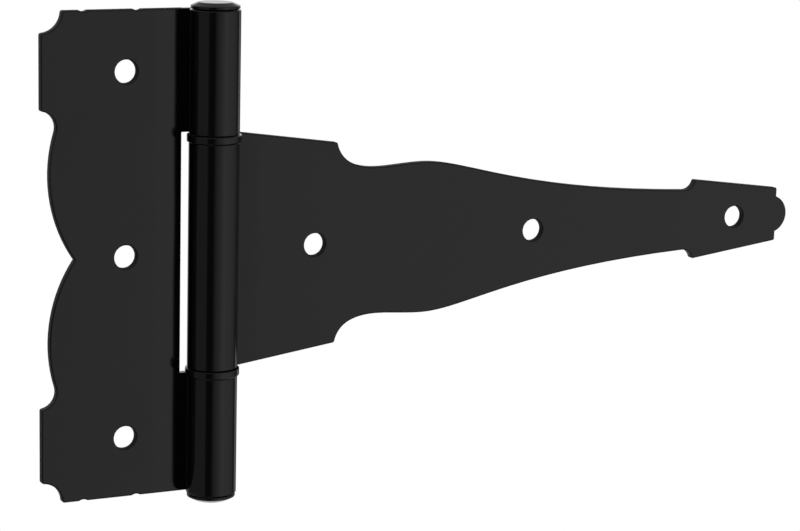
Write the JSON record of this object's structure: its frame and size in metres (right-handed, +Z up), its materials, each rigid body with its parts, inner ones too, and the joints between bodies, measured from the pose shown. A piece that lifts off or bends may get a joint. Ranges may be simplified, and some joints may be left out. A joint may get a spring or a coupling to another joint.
{
  "type": "tee hinge",
  "caption": "Ornamental heavy tee hinge for a gate: bulged post leaf and long scrolled strap leaf, rolled round one bevel-headed pin.",
  "frame": {"origin": "the centre of the post leaf's middle bolt hole, on the leaf's back face", "axes": "+X from the post leaf towards the strap's tip, +Y out of the back faces into the post, +Z up along the pin; the hinge lies open flat"},
  "size_m": [0.3158, 0.0198, 0.1829],
  "materials": {
    "post_leaf": "semi-gloss black powder coat",
    "strap_leaf": "semi-gloss black powder coat",
    "hinge_pin": "semi-gloss black powder coat",
    "upper_washer": "semi-gloss black powder coat",
    "lower_washer": "semi-gloss black powder coat"
  },
  "bodies": {
    "post": {"post_leaf": "post_leaf", "hinge_pin": "hinge_pin", "upper_washer": "upper_washer", "lower_washer": "lower_washer"},
    "strap": {"strap_leaf": "strap_leaf"}
  },
  "joints": [
    {"name": "strap_swing", "type": "hinge", "parent": "post", "child": "strap", "pos_m": [0.0312, -0.0092, 0], "axis": [0, 0, -1], "range_deg": [-94, 190]}
  ]
}
